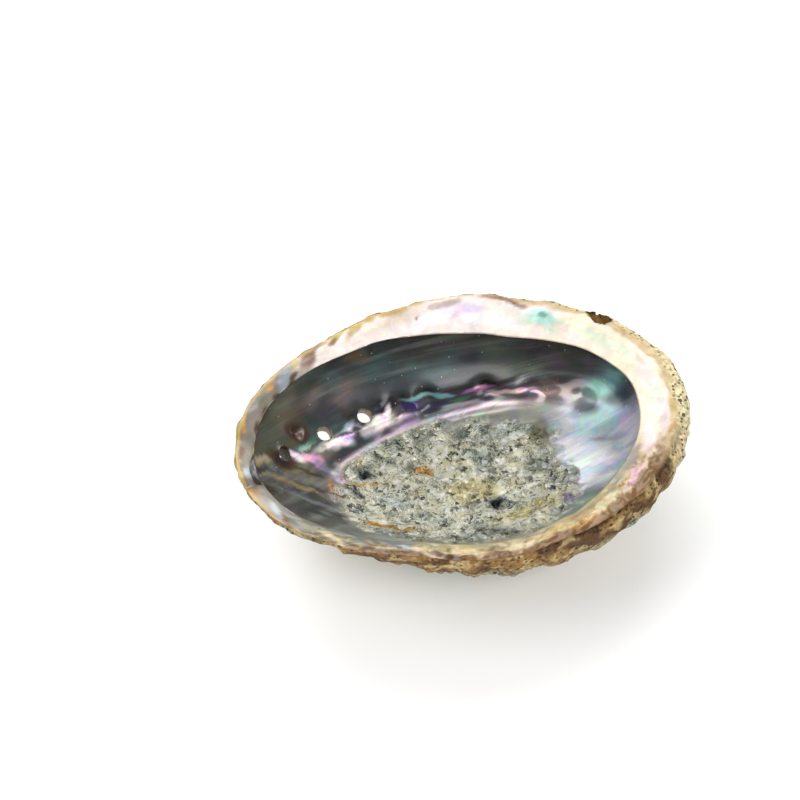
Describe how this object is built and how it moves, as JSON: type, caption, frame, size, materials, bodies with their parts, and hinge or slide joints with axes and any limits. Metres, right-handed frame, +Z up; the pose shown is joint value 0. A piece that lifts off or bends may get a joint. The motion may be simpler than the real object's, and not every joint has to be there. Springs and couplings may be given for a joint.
{
  "type": "abalone shell",
  "caption": "Ear-shaped abalone shell lying on its back: a deep nacre bowl with a broad shelf along one side, a row of open breathing holes and a low spire underneath.",
  "frame": {"origin": "centre of the small flat spot the shell lies on", "axes": "+X along the shell towards the spire end, +Y towards the side with the wide shelf and the row of holes, +Z up out of the opening"},
  "size_m": [0.1546, 0.1128, 0.0489],
  "materials": {
    "shell": "polished pearly nacre inside, rough pored crust outside"
  },
  "bodies": {
    "root": {"shell": "shell"}
  },
  "joints": []
}
